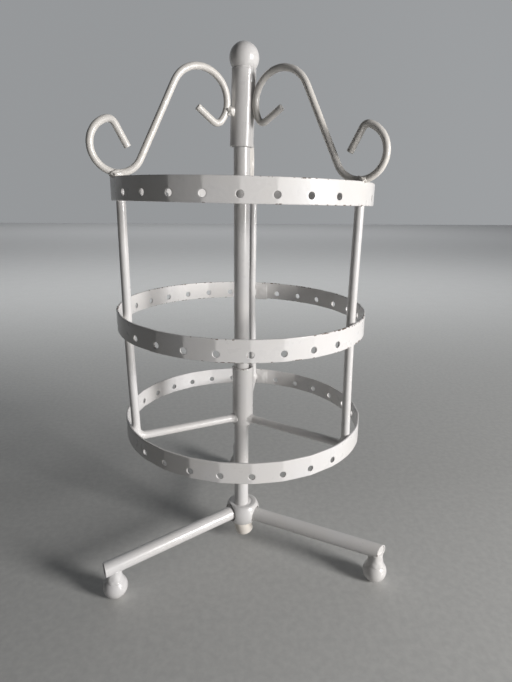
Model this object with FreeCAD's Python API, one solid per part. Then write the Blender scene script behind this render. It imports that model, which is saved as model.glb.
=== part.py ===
import FreeCAD, Part
import math
import os

# Rotating display rack: three perforated hoops on three bent rods turn round a pole on three
# legs. Millimetres. The origin is on the pole's axis, on the surface that the feet stand on.
# +Z is up, the back leg points along +Y, and plan angles run anticlockwise from +X.

# ---- stand -------------------------------------------------------------------------------
LEG_ANGLES = {"front_left": 210.0, "front_right": 330.0, "back": 90.0}
LEG_HEIGHT = 25.4           # leg axis above the table, at the pole's axis
LEG_SLOPE = 2.5             # degrees that the legs fall away outward
LEG_RADIUS = 4.5
LEG_INNER_END = 6.2         # where a leg tube starts, from the pole's axis
LEG_OUTER_END = 98.8
TUBE_WALL = 0.9
LEG_PLUG_LENGTH = 3.0
FOOT_RADIUS = 7.5
FOOT_REACH = 93.5           # foot centre from the pole's axis
FOOT_FLAT_RADIUS = 2.0      # worn flat that the foot stands on
FOOT_NECK_RADIUS = 4.9

HUB_BALL_RADIUS = 11.6
HUB_BALL_CENTRE = 24.6
HUB_BALL_BOTTOM = 17.0
HUB_MOUTH_RADIUS = 5.7      # recess in the ball round each leg
HUB_MOUTH_START = 8.2
HUB_CORE_RADIUS = 7.6
HUB_BOTTOM = 13.9
HUB_TOP = 31.2
HUB_FLOOR = 17.5            # the pole stands on this ledge inside the hub

POLE_RADIUS = 4.75
POLE_TOP = 288.0
INSERT_LENGTH = 14.0
BOLT_RADIUS = 2.5
BOLT_HEAD_RADIUS = 4.0
BOLT_HEAD_HEIGHT = 3.5
BOLT_HOLE_RADIUS = 2.7
BOLT_TIP_DEPTH = 1.0        # from the insert's top down to the bolt's tip
WASHER_RADIUS = 4.9
WASHER_THICKNESS = 1.0
CAP_RADIUS = 6.0
CAP_WALL = 0.9
CAP_HEIGHT = 6.9

PIN_RADIUS = 2.0
PIN_TOP = 299.0
PIN_DEPTH = 8.0             # length of pin pressed into the pole's top plug
TOP_PLUG_LENGTH = 11.0
TOP_PLUG_FLANGE = 1.0
RUNNING_CLEARANCE = 0.05

# ---- carousel ----------------------------------------------------------------------------
CAROUSEL_TURN = -8.4        # how far the carousel stands turned from the legs
UPRIGHT_ANGLES = {
    "left": LEG_ANGLES["front_left"] + CAROUSEL_TURN,
    "right": LEG_ANGLES["front_right"] + CAROUSEL_TURN,
    "back": LEG_ANGLES["back"] + CAROUSEL_TURN,
}
SECTOR = 120.0              # plan angle from one upright to the next
RING_RADIUS = 75.0
STRIP_WIDTH = 12.0
STRIP_THICKNESS = 1.2
RING_HEIGHTS = {"top_ring": 239.0, "middle_ring": 166.4, "bottom_ring": 97.9}
HOLES_PER_RUN = 8           # a run of holes lies between two uprights
HOLE_PITCH = 12.85          # plan angle between holes
RUN_OFFSETS = {             # how far each run is drilled off the middle of its sector
    "top_ring": {"left": -3.5, "right": -3.5, "back": -3.5},
    "middle_ring": {"left": 1.2, "right": -1.4, "back": -3.5},
    "bottom_ring": {"left": 1.1, "right": -0.8, "back": -3.5},
}
HOLE_RADIUS = 1.75
HOLE_DROP = 1.8             # holes sit below the middle of the strip
SEAM_OFFSET = 3.6           # plan angle from the back upright to the seam patch
SEAM_SPAN = 6.8             # plan angle that the patch covers
SEAM_THICKNESS = 0.5
SEAM_MARGIN = 0.5           # strip left bare above and below the patch

ROD_RADIUS = 2.5
ROD_CIRCLE = RING_RADIUS - STRIP_THICKNESS - ROD_RADIUS
ROD_TOP = 245.0
ROD_BEND_RADIUS = 5.0
SPOKE_HEIGHT = 96.4

SLEEVE_RADIUS = 6.75
SLEEVE_WALL = 1.0
LOWER_SLEEVE = (92.0, 131.5)
UPPER_SLEEVE = (263.8, 303.6)
BEARING_PLUG_BOTTOM = 290.0
BEARING_PLUG_DEPTH = 3.0    # from the sleeve's rim down to the plug
FINIAL_RADIUS = 8.2

WIRE_RADIUS = 1.9
SCROLL_TOUCH_HEIGHT = 286.6  # where the inner curl touches the upper sleeve
INNER_CURL_RADIUS = 16.5
OUTER_CURL_RADIUS = 13.2
OUTER_CURL_REACH = 72.3      # centre of the outer curl from the pole's axis
CURL_END_RADIUS = 3.0        # the sharp bend before each straight tip
TIP_LENGTH = 11.5
INNER_CURL_TURN = 49.0
INNER_TIP_TURN = 75.0
OUTER_CURL_HEADING = 169.0   # direction of the wire where the outer sharp bend starts
OUTER_TIP_TURN = 68.0

# ---- welds ---------------------------------------------------------------------------------
WELD_OVERLAP = 0.1          # how far a weld's web runs past the gap that it closes
SMALLEST_WELD = 0.5         # cubic millimetres
FINIAL_BEAD_RADIUS = 0.7
FINIAL_BEAD_INSET = 0.4     # from the sleeve's outside to the bead's middle
ROD_WELD_WIDTH = 4.5
ROD_WELD_LENGTH = 5.4
SPOKE_WELD_FLARE = 1.6
SPOKE_WELD_LENGTH = 3.0
SPOKE_WELD_START = 6.25     # inside the sleeve's wall
FOOT_BEAD_RADIUS = 1.5      # the scroll's foot on the top hoop
FOOT_BEAD_REACH = 1.4       # outward from the rod's middle
FOOT_BEAD_RISE = 0.7
SIDE_BEAD_RADIUS = 2.6      # the scroll's side on the upper sleeve
SIDE_BEAD_REACH = 0.5       # outward from the sleeve's outside
SIDE_BEAD_DROP = 2.0        # below where the scroll touches

# ---- sizes that follow from the ones above -----------------------------------------------
POLE_BORE = POLE_RADIUS - TUBE_WALL
LEG_BORE = LEG_RADIUS - TUBE_WALL
SLEEVE_BORE = SLEEVE_RADIUS - SLEEVE_WALL
RING_INSIDE = RING_RADIUS - STRIP_THICKNESS
RING_TOP_EDGE = RING_HEIGHTS["top_ring"] + STRIP_WIDTH / 2
WIRE_REST_HEIGHT = RING_TOP_EDGE + WIRE_RADIUS
FOOT_CENTRE = math.sqrt(FOOT_RADIUS ** 2 - FOOT_FLAT_RADIUS ** 2)
FINIAL_CENTRE = UPPER_SLEEVE[1] + math.sqrt(FINIAL_RADIUS ** 2 - SLEEVE_BORE ** 2)

UP = FreeCAD.Vector(0, 0, 1)
ORIGIN = FreeCAD.Vector(0, 0, 0)


def radial(angle):
    """Unit vector pointing away from the pole's axis at a plan angle."""
    a = math.radians(angle)
    return FreeCAD.Vector(math.cos(a), math.sin(a), 0)


def at(angle, reach, height):
    """The point at a plan angle, a distance from the axis and a height."""
    return radial(angle) * reach + UP * height


def upright_cylinder(radius, bottom, top):
    return Part.makeCylinder(radius, top - bottom, UP * bottom, UP)


def tube(outer, inner, bottom, top):
    return upright_cylinder(outer, bottom, top).cut(upright_cylinder(inner, bottom, top))


def bar(radius, angle, start, end, height):
    """A round bar that lies along a radius of the rack."""
    return Part.makeCylinder(radius, end - start, at(angle, start, height), radial(angle))


def leg_point(angle, reach):
    """The point of a leg's sloping axis at a distance along it from the pole's axis."""
    slope = math.radians(LEG_SLOPE)
    return at(angle, reach * math.cos(slope), LEG_HEIGHT - reach * math.sin(slope))


def leg_bar(radius, angle, start, end):
    """A round bar along a leg's sloping axis."""
    start_point = leg_point(angle, start)
    return Part.makeCylinder(radius, end - start, start_point, leg_point(angle, end) - start_point)


def spin(shape, angle):
    """A copy of the shape turned about the pole's axis."""
    turned = shape.copy()
    turned.rotate(ORIGIN, UP, angle)
    return turned


def largest_first(shape):
    return sorted(shape.Solids, key=lambda s: -s.Volume)


def save(shape, node):
    shape.exportStep("parts/" + node + ".step")


# ---- bent wire -----------------------------------------------------------------------------

def bend(start, heading, moves):
    """Edges of a wire bent in the plane of reach (X) and height (Z).

    Each move is (length, turn, radius): a straight run, or an arc that turns the heading, in
    degrees, positive anticlockwise.
    """
    edges = []
    x, z = start
    for length, turn, radius in moves:
        begin = FreeCAD.Vector(x, 0, z)
        if turn == 0:
            x += length * math.cos(math.radians(heading))
            z += length * math.sin(math.radians(heading))
            edges.append(Part.LineSegment(begin, FreeCAD.Vector(x, 0, z)).toShape())
            continue
        side = math.copysign(90.0, turn)
        to_centre = math.radians(heading + side)
        centre_x = x + radius * math.cos(to_centre)
        centre_z = z + radius * math.sin(to_centre)
        points = []
        for part in (0.5, 1.0):
            a = math.radians(heading - side + turn * part)
            points.append(FreeCAD.Vector(centre_x + radius * math.cos(a), 0,
                                         centre_z + radius * math.sin(a)))
        edges.append(Part.Arc(begin, points[0], points[1]).toShape())
        x, z = points[1].x, points[1].z
        heading += turn
    return edges


def sweep(edges, radius):
    """A round wire along the edges, which follow one another."""
    path = Part.Wire(Part.__sortEdges__(edges))
    first = path.OrderedEdges[0]
    tangent = first.tangentAt(first.FirstParameter)
    if first.Orientation == "Reversed":
        tangent = first.tangentAt(first.LastParameter) * -1
    start = path.OrderedVertexes[0].Point
    section = Part.Wire(Part.makeCircle(radius, start, tangent))
    return path.makePipeShell([section], True, True)


# ---- stand -----------------------------------------------------------------------------------

def leg_body(angle):
    return leg_bar(LEG_RADIUS, angle, LEG_INNER_END, LEG_OUTER_END)


def leg(angle):
    return leg_body(angle).cut(leg_bar(LEG_BORE, angle, LEG_INNER_END, LEG_OUTER_END))


def leg_plug(angle):
    return leg_bar(LEG_BORE, angle, LEG_OUTER_END - LEG_PLUG_LENGTH, LEG_OUTER_END)


def foot(angle):
    ball = Part.makeSphere(FOOT_RADIUS, at(angle, FOOT_REACH, FOOT_CENTRE))
    below = Part.makeBox(4 * FOOT_RADIUS, 4 * FOOT_RADIUS, FOOT_RADIUS)
    below.translate(at(angle, FOOT_REACH, -FOOT_RADIUS) - FreeCAD.Vector(1, 1, 0) * 2 * FOOT_RADIUS)
    return ball.cut(below)


def foot_weld(angle):
    """The neck that fills the gap between a ball and its leg."""
    leg_axis = leg_point(angle, FOOT_REACH)
    neck = Part.makeCylinder(FOOT_NECK_RADIUS, leg_axis.z - LEG_RADIUS / 2 - FOOT_CENTRE,
                             at(angle, FOOT_REACH, FOOT_CENTRE), UP)
    neck = neck.cut(foot(angle)).cut(leg_body(angle))
    return largest_first(neck)[0]


def base_hub():
    """A ball with a flat top and a recess round each leg, on a short core."""
    ball = Part.makeSphere(HUB_BALL_RADIUS, UP * HUB_BALL_CENTRE)
    ball = ball.common(upright_cylinder(HUB_BALL_RADIUS, HUB_BALL_BOTTOM, HUB_TOP))
    body = ball.fuse(upright_cylinder(HUB_CORE_RADIUS, HUB_BOTTOM, HUB_FLOOR)).removeSplitter()
    for angle in LEG_ANGLES.values():
        body = body.cut(leg_body(angle))
        body = body.cut(leg_bar(HUB_MOUTH_RADIUS, angle, HUB_MOUTH_START, LEG_OUTER_END))
    body = body.cut(upright_cylinder(POLE_RADIUS, HUB_FLOOR, HUB_TOP))
    return body.cut(upright_cylinder(BOLT_HOLE_RADIUS, HUB_BOTTOM, HUB_FLOOR))


def pole():
    return tube(POLE_RADIUS, POLE_BORE, HUB_FLOOR, POLE_TOP)


def pole_insert():
    return tube(POLE_BORE, BOLT_RADIUS, HUB_FLOOR, HUB_FLOOR + INSERT_LENGTH)


def washer():
    return tube(WASHER_RADIUS, BOLT_HOLE_RADIUS, HUB_BOTTOM - WASHER_THICKNESS, HUB_BOTTOM)


def base_bolt():
    """A hexagon-socket screw up through the hub into the insert."""
    seat = HUB_BOTTOM - WASHER_THICKNESS
    head = upright_cylinder(BOLT_HEAD_RADIUS, seat - BOLT_HEAD_HEIGHT, seat)
    shank = upright_cylinder(BOLT_RADIUS, seat, HUB_FLOOR + INSERT_LENGTH - BOLT_TIP_DEPTH)
    corner = BOLT_HEAD_RADIUS / 2
    points = [at(60 * k, corner, seat - BOLT_HEAD_HEIGHT) for k in range(7)]
    socket = Part.Face(Part.makePolygon(points)).extrude(UP * BOLT_HEAD_HEIGHT / 2)
    return head.fuse(shank).removeSplitter().cut(socket)


def bolt_cap():
    """A domed cap over the bolt's head, gripped round the washer."""
    bottom = HUB_BOTTOM - CAP_HEIGHT
    outside = upright_cylinder(CAP_RADIUS, bottom, HUB_BOTTOM)
    rim = [e for e in outside.Edges if e.BoundBox.ZMax < bottom + 0.01]
    outside = outside.makeFillet(CAP_RADIUS / 3, rim)
    inside = upright_cylinder(CAP_RADIUS - CAP_WALL, bottom + 2 * CAP_WALL, HUB_BOTTOM)
    return outside.cut(inside)


def pole_top_plug():
    body = upright_cylinder(POLE_BORE, POLE_TOP - TOP_PLUG_LENGTH, POLE_TOP)
    flange = upright_cylinder(POLE_RADIUS, POLE_TOP, POLE_TOP + TOP_PLUG_FLANGE)
    socket = upright_cylinder(PIN_RADIUS, POLE_TOP - PIN_DEPTH, POLE_TOP + TOP_PLUG_FLANGE)
    return body.fuse(flange).removeSplitter().cut(socket)


def pivot_pin():
    shank = upright_cylinder(PIN_RADIUS, POLE_TOP - PIN_DEPTH, PIN_TOP - PIN_RADIUS)
    return shank.fuse(Part.makeSphere(PIN_RADIUS, UP * (PIN_TOP - PIN_RADIUS))).removeSplitter()


# ---- carousel --------------------------------------------------------------------------------

def hole_angles(ring):
    """Plan angles of a hoop's holes: a run in each sector, anticlockwise from its upright."""
    angles = []
    for upright_name, offset in RUN_OFFSETS[ring].items():
        middle = UPRIGHT_ANGLES[upright_name] + SECTOR / 2 + offset
        for k in range(HOLES_PER_RUN):
            angles.append(middle + (k - (HOLES_PER_RUN - 1) / 2) * HOLE_PITCH)
    return angles


def ring(name):
    middle = RING_HEIGHTS[name]
    hoop = tube(RING_RADIUS, RING_INSIDE, middle - STRIP_WIDTH / 2, middle + STRIP_WIDTH / 2)
    drills = [bar(HOLE_RADIUS, angle, RING_INSIDE - 2, RING_RADIUS + 1, middle - HOLE_DROP)
              for angle in hole_angles(name)]
    return hoop.cut(Part.makeCompound(drills))


def seam(name):
    """The lap patch that closes a hoop, on its inner face beside the back upright."""
    height = STRIP_WIDTH - 2 * SEAM_MARGIN
    bottom = RING_HEIGHTS[name] - height / 2
    outer = Part.makeCylinder(RING_INSIDE, height, UP * bottom, UP, SEAM_SPAN)
    inner = Part.makeCylinder(RING_INSIDE - SEAM_THICKNESS, height, UP * bottom, UP, SEAM_SPAN)
    start = UPRIGHT_ANGLES["back"] - SEAM_OFFSET - SEAM_SPAN
    return spin(outer.cut(inner), start)


def upright(angle):
    drop = ROD_TOP - SPOKE_HEIGHT - ROD_BEND_RADIUS
    run = ROD_CIRCLE - ROD_BEND_RADIUS
    edges = bend((ROD_CIRCLE, ROD_TOP), -90, [(drop, 0, 0), (0, -90, ROD_BEND_RADIUS), (run, 0, 0)])
    rod = sweep(edges, ROD_RADIUS)
    rod = rod.cut(upright_cylinder(SLEEVE_RADIUS, *LOWER_SLEEVE))
    return spin(largest_first(rod)[0], angle)


def scroll_edges():
    """The scroll's centre line, bent both ways from where it touches the upper sleeve."""
    touch = (SLEEVE_RADIUS + WIRE_RADIUS, SCROLL_TOUCH_HEIGHT)
    across = OUTER_CURL_REACH - touch[0] - INNER_CURL_RADIUS
    down = SCROLL_TOUCH_HEIGHT - WIRE_REST_HEIGHT - OUTER_CURL_RADIUS
    apart = math.hypot(across, down)
    curls = INNER_CURL_RADIUS + OUTER_CURL_RADIUS
    slope = -math.degrees(math.atan2(down, across) + math.asin(curls / apart))
    diagonal = math.sqrt(apart ** 2 - curls ** 2)
    inward = bend(touch, -90, [
        (0, INNER_CURL_TURN, INNER_CURL_RADIUS),
        (0, INNER_TIP_TURN, CURL_END_RADIUS),
        (TIP_LENGTH, 0, 0),
    ])
    outward = bend(touch, 90, [
        (0, slope - 90, INNER_CURL_RADIUS),
        (diagonal, 0, 0),
        (0, OUTER_CURL_HEADING - slope, OUTER_CURL_RADIUS),
        (0, OUTER_TIP_TURN, CURL_END_RADIUS),
        (TIP_LENGTH, 0, 0),
    ])
    return inward + outward


def scroll(angle):
    return spin(sweep(scroll_edges(), WIRE_RADIUS), angle)


def sleeve(span):
    return tube(SLEEVE_RADIUS, SLEEVE_BORE, *span)


def bearing_plug():
    body = upright_cylinder(SLEEVE_BORE, BEARING_PLUG_BOTTOM, UPPER_SLEEVE[1] - BEARING_PLUG_DEPTH)
    bore = upright_cylinder(PIN_RADIUS + RUNNING_CLEARANCE, BEARING_PLUG_BOTTOM,
                            PIN_TOP + RUNNING_CLEARANCE)
    return body.cut(bore)


def finial_ball():
    return Part.makeSphere(FINIAL_RADIUS, UP * FINIAL_CENTRE)


def finial_weld():
    """The bead in the groove between the ball and the sleeve's rim."""
    bead = Part.makeTorus(SLEEVE_RADIUS - FINIAL_BEAD_INSET, FINIAL_BEAD_RADIUS,
                          UP * UPPER_SLEEVE[1], UP)
    return largest_first(bead.cut(finial_ball()).cut(sleeve(UPPER_SLEEVE)))[0]


def upright_weld(angle, height):
    """The two fillets between an upright and the inside of a hoop."""
    bottom = height - ROD_WELD_LENGTH / 2
    web = Part.makeBox(ROD_RADIUS + WELD_OVERLAP, ROD_WELD_WIDTH, ROD_WELD_LENGTH,
                       FreeCAD.Vector(ROD_CIRCLE, -ROD_WELD_WIDTH / 2, bottom))
    rod = Part.makeCylinder(ROD_RADIUS, ROD_WELD_LENGTH, FreeCAD.Vector(ROD_CIRCLE, 0, bottom))
    hoop = tube(RING_RADIUS, RING_INSIDE, bottom - WELD_OVERLAP,
                bottom + ROD_WELD_LENGTH + WELD_OVERLAP)
    return [spin(s, angle) for s in web.cut(rod).cut(hoop).Solids]


def spoke_weld(angle):
    collar = Part.makeCone(ROD_RADIUS + SPOKE_WELD_FLARE, ROD_RADIUS + WELD_OVERLAP,
                           SPOKE_WELD_LENGTH, FreeCAD.Vector(SPOKE_WELD_START, 0, SPOKE_HEIGHT),
                           FreeCAD.Vector(1, 0, 0))
    spoke = Part.makeCylinder(ROD_RADIUS, RING_RADIUS, FreeCAD.Vector(0, 0, SPOKE_HEIGHT),
                              FreeCAD.Vector(1, 0, 0))
    collar = collar.cut(spoke).cut(upright_cylinder(SLEEVE_RADIUS, *LOWER_SLEEVE))
    return spin(largest_first(collar)[0], angle)


def curl_solid(reach, height, radius):
    """A whole turn of scroll wire round a curl's centre."""
    centre = FreeCAD.Vector(reach, 0, height)
    return Part.makeTorus(radius, WIRE_RADIUS, centre, FreeCAD.Vector(0, 1, 0))


def scroll_ring_weld(angle):
    """The two beads beside a scroll's foot, on the hoop's edge and the rod's end."""
    wire = curl_solid(OUTER_CURL_REACH, WIRE_REST_HEIGHT + OUTER_CURL_RADIUS, OUTER_CURL_RADIUS)
    above = upright_cylinder(2 * RING_RADIUS, RING_TOP_EDGE, WIRE_REST_HEIGHT)
    beads = []
    for side in (-1, 1):
        place = FreeCAD.Vector(ROD_CIRCLE + FOOT_BEAD_REACH, side * WIRE_RADIUS,
                               RING_TOP_EDGE + FOOT_BEAD_RISE)
        blob = Part.makeSphere(FOOT_BEAD_RADIUS, place).common(above).cut(wire)
        beads.append(spin(largest_first(blob)[0], angle))
    return beads


def scroll_sleeve_weld(angle):
    """The beads on both sides of a scroll where it touches the upper sleeve."""
    place = FreeCAD.Vector(SLEEVE_RADIUS + SIDE_BEAD_REACH, 0, SCROLL_TOUCH_HEIGHT - SIDE_BEAD_DROP)
    blob = Part.makeSphere(SIDE_BEAD_RADIUS, place)
    wire = curl_solid(SLEEVE_RADIUS + WIRE_RADIUS + INNER_CURL_RADIUS, SCROLL_TOUCH_HEIGHT,
                      INNER_CURL_RADIUS)
    blob = blob.cut(wire).cut(upright_cylinder(SLEEVE_RADIUS, *UPPER_SLEEVE))
    return [spin(s, angle) for s in largest_first(blob) if s.Volume > SMALLEST_WELD]


def make_stand():
    for name, angle in LEG_ANGLES.items():
        save(leg(angle), "leg_" + name)
        save(leg_plug(angle), "leg_plug_" + name)
        save(foot(angle), "foot_" + name)
    save(Part.makeCompound([foot_weld(a) for a in LEG_ANGLES.values()]), "foot_welds")
    save(base_hub(), "base_hub")
    save(pole(), "pole")
    save(pole_insert(), "pole_insert")
    save(washer(), "base_washer")
    save(base_bolt(), "base_bolt")
    save(bolt_cap(), "bolt_cap")
    save(pole_top_plug(), "pole_top_plug")
    save(pivot_pin(), "pivot_pin")


def make_carousel():
    for name in RING_HEIGHTS:
        save(ring(name), name)
    save(Part.makeCompound([seam(name) for name in RING_HEIGHTS]), "ring_seams")
    for name, angle in UPRIGHT_ANGLES.items():
        save(upright(angle), "upright_" + name)
        save(scroll(angle), "scroll_" + name)
    save(sleeve(UPPER_SLEEVE), "upper_sleeve")
    save(sleeve(LOWER_SLEEVE), "lower_sleeve")
    save(bearing_plug(), "bearing_plug")
    save(finial_ball(), "finial_ball")
    save(finial_weld(), "finial_weld")
    rod_welds = []
    sleeve_welds = []
    ring_welds = []
    for angle in UPRIGHT_ANGLES.values():
        for height in RING_HEIGHTS.values():
            rod_welds += upright_weld(angle, height)
        sleeve_welds += scroll_sleeve_weld(angle)
        ring_welds += scroll_ring_weld(angle)
    save(Part.makeCompound(rod_welds), "upright_welds")
    save(Part.makeCompound(sleeve_welds), "scroll_sleeve_welds")
    save(Part.makeCompound([spoke_weld(a) for a in UPRIGHT_ANGLES.values()]), "spoke_welds")
    save(Part.makeCompound(ring_welds), "scroll_ring_welds")


os.makedirs("parts", exist_ok=True)
make_stand()
make_carousel()
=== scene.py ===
import math

import bpy
from mathutils import Matrix, Vector, noise


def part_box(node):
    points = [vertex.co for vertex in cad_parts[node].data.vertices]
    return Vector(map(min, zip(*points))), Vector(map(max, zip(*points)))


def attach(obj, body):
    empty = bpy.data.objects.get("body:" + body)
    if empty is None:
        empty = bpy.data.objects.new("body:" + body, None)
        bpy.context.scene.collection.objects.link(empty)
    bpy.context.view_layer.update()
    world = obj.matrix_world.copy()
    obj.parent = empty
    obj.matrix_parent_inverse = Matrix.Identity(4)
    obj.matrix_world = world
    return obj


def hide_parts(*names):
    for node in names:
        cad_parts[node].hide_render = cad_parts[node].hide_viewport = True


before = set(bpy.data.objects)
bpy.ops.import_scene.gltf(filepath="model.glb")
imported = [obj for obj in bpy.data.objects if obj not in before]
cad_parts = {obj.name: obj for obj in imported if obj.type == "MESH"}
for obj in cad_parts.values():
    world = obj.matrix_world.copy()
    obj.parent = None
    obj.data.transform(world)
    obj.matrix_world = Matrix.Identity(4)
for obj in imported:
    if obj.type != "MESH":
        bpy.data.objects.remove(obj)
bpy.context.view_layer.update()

# Looks of the rotating display rack. Lengths are in millimetres and angles in degrees until a
# mesh is made; the sizes that the frame doesn't give are named here.

MM = 0.001

SECTOR = 120.0               # plan angle from one rod to the next
LEVELS = ("top", "middle", "bottom")
HOLES_PER_RUN = 8            # a run of holes lies between two rods
HOLE_PITCH = {"top": 13.05, "middle": 12.85, "bottom": 12.85}   # plan angle between holes
RUN_OFFSETS = {              # how far each run is drilled off the middle of its sector
    "top": {"left": -3.5, "right": -3.5, "back": -3.5},
    "middle": {"left": 1.2, "right": -1.4, "back": -3.5},
    "bottom": {"left": 1.1, "right": -0.8, "back": -3.5},
}
HOLE_RADIUS = 1.75
HOLE_DROP = 1.8
STRIP_THICKNESS = 1.2
FACETS = 0.75                # how flat the strip stays between holes; it was bent at the holes
HOOP_NOD = {"top": -0.7, "middle": 1.1, "bottom": 0.0}     # degrees, front to back
HOOP_GROWTH = {"top": -0.15, "middle": 0.5, "bottom": 0.15}     # change of radius
HOOP_WEAR = {"top": 0.8, "middle": 1.15, "bottom": 0.5}
SEAM_START = 3.6             # plan angle from the back rod to the lap patch
SEAM_SPAN = 6.8
SEAM_THICKNESS = 0.5

TUBE_WALL = 0.9
SLEEVE_WALL = 1.0
ROD_RADIUS = 2.5
ROD_BEND_RADIUS = 5.0
ROD_SWAY = 0.25              # how far a rod wanders off straight
EDGE = 0.35                  # how far the enamel rounds a sharp edge
RIM_WEAR = 1.0               # wear of the sawn rims of tubes and wires
SLACK = 0.02                 # air between a tube and the piece pressed into it

WIRE_RADIUS = 1.9
SCROLLS = {                  # bent by hand, so no two are quite alike
    "back": {"touch": 286.6, "inner": 16.5, "outer": 13.2, "reach": 72.3, "rise": 0.0,
             "inner_turn": 49.0, "inner_tip_turn": 75.0, "inner_tip": 11.5,
             "outer_heading": 169.0, "outer_tip_turn": 68.0, "outer_tip": 11.5, "end_bend": 3.0,
             "shift": 0.5, "tilt": 1.2},
    "left": {"touch": 286.6, "inner": 15.8, "outer": 13.3, "reach": 70.6, "rise": -0.4,
             "inner_turn": 41.0, "inner_tip_turn": 86.0, "inner_tip": 11.1,
             "outer_heading": 161.0, "outer_tip_turn": 81.0, "outer_tip": 12.6, "end_bend": 3.3,
             "shift": -0.35, "tilt": 1.35},
    "right": {"touch": 285.9, "inner": 16.5, "outer": 13.5, "reach": 71.6, "rise": -0.5,
              "inner_turn": 31.5, "inner_tip_turn": 91.5, "inner_tip": 12.2,
              "outer_heading": 164.0, "outer_tip_turn": 78.0, "outer_tip": 13.0, "end_bend": 2.8,
              "shift": 0.35, "tilt": 0.95},
}

WIRE_STEP = 0.8              # mesh step along a scroll
SIDE_WELDS = {               # (hand, bulk) of the welds that hold each scroll to the sleeve
    "back": ((-1, 0.8), (1, 0.8)),
    "left": ((-1, 0.7), (1, 0.9)),
    "right": ((1, 0.8),),
}
SIDE_WELD_SIZE = (3.2, 1.7, 2.7)     # half-sizes outward, across and up, at a bulk of 1
FOOT_WELD_SIZE = (3.0, 1.5, 1.9)
ROD_WELD_RADIUS = 0.95
ROD_WELD_REACH = 2.9         # half the height of the bead beside a rod
ROD_WELD_OFF = 2.15          # from the rod's middle to the bead
SPOKE_WELD_LENGTH = 4.4
SPOKE_WELD_FLARE = 1.75
FINIAL_BEAD_RADIUS = 0.62

PAINT_RUNS = ((-28.0, 18.0, 1.5), (-52.0, 9.0, 0.9))     # (plan angle, length, half-width)

HUB_BALL_RADIUS = 11.6
HUB_BALL_CENTRE = 24.6
HUB_BALL_LOWEST = -38        # where the ball meets its neck, from its middle
HUB_MOUTH_RADIUS = 5.7
HUB_MOUTH_START = 8.2
HUB_MOUTH_STRAIGHT = 3.0     # the mouth is straight so far, and flares from there
HUB_MOUTH_END = 8.0
HUB_MOUTH_FLARE = 1.2
HUB_GRAIN = 0.28             # mesh size of the casting
LEG_INNER_END = 6.2
LEG_PLUG_INSET = 0.35
LEG_PLUG_LENGTH = 3.0
HUB_SKIRT = 17.2             # the ball's underside, where the cap begins
HUB_NECK_RADIUS = 6.8
CAP_TOP = 18.0
CAP_EDGE = 1.6
CAP_SHIFT = (1.7, -1.2)
CAP_LIFT = 0.6
CAP_TILT = -15.0
FOOT_NECK_RADIUS = 4.4
FOOT_NECK_FLARE = 1.4
FOOT_FLAT_RADIUS = 2.0
STAND_OFFSET = Vector((1.0, 1.2, 0.0))    # the pole is screwed down off the stand's middle
EVEN_LEG = {"drop": 0.0, "slope": 0.0, "length": 0.0, "swing": 0.0, "cut": 0.0, "foot": 0.0}
LEG_QUIRKS = {               # what each leg and its foot are out by, and the slant of the sawn end
    "front_left": {**EVEN_LEG, "length": 1.0, "cut": -8.0, "foot": 0.5},
    "front_right": {**EVEN_LEG, "drop": 1.9, "slope": -1.6, "length": -1.2, "cut": -20.0,
                    "foot": 0.9},
    "back": {**EVEN_LEG, "swing": -1.6},
}

# The carousel hangs a little crooked on its pin: (height, amount) along the rack.
HOOP_SHIFT = ((98.0, 1.5), (166.0, 0.2), (239.0, 1.0))
SLEEVE_SHIFT = ((92.0, 0.8), (131.0, 0.8), (200.0, 0.3), (264.0, -0.2), (304.0, 1.1),
                (318.0, 1.4))
HOOP_TILT = ((98.0, 0.9), (166.0, 0.6), (239.0, 0.75), (248.0, 0.8), (290.0, 1.3))
SLEEVE_TILT = 1.8


# ---- places from the frame ----

def box_mm(node):
    lo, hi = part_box(node)
    return lo / MM, hi / MM


def radius_of(node):
    lo, hi = box_mm(node)
    return (hi.x - lo.x) / 2


def span_of(node):
    lo, hi = box_mm(node)
    return lo.z, hi.z


def far_corner(node, inset):
    """The centre of what stands furthest from the axis in a node, given its half-width."""
    lo, hi = box_mm(node)
    x = lo.x + inset if -lo.x > hi.x else hi.x - inset
    y = lo.y + inset if -lo.y > hi.y else hi.y - inset
    return Vector((x, y, 0))


POLE_RADIUS = radius_of("pole")
SLEEVE_RADIUS = radius_of("upper_sleeve")
RING_RADIUS = radius_of("top_ring")
RING_INSIDE = RING_RADIUS - STRIP_THICKNESS
LEG_RADIUS = radius_of("leg_back")
HUB_TOP = span_of("base_hub")[1]
RING_TOP_EDGE = span_of("top_ring")[1]
FINIAL_RADIUS = radius_of("finial_ball")


def plan_angle(point):
    return math.degrees(math.atan2(point.y, point.x))


ROD_CIRCLE = RING_INSIDE - ROD_RADIUS
ROD_STRAY = {"left": 0.0, "right": 1.8, "back": -1.7}    # welded on a little off their marks
ROD_ANGLES = {side: plan_angle(far_corner("upright_" + side, ROD_RADIUS)) for side in ROD_STRAY}
ROD_PLACES = {side: angle + ROD_STRAY[side] for side, angle in ROD_ANGLES.items()}


# ---- small maths ----

def at_angle(radius, angle):
    a = math.radians(angle)
    return radius * math.cos(a), radius * math.sin(a)


def polar(reach, angle, height=0.0):
    return Vector((*at_angle(reach, angle), height))


def between(table, x):
    """The value at x in a table of (x, value) steps, straight between them and level outside."""
    if x <= table[0][0]:
        return table[0][1]
    for (x0, y0), (x1, y1) in zip(table, table[1:]):
        if x <= x1:
            return y0 + (y1 - y0) * (x - x0) / (x1 - x0)
    return table[-1][1]


def ease(t):
    t = min(1.0, max(0.0, t))
    return t * t * (3 - 2 * t)


def steps(start, end, count):
    return [start + (end - start) * k / count for k in range(count + 1)]


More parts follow.
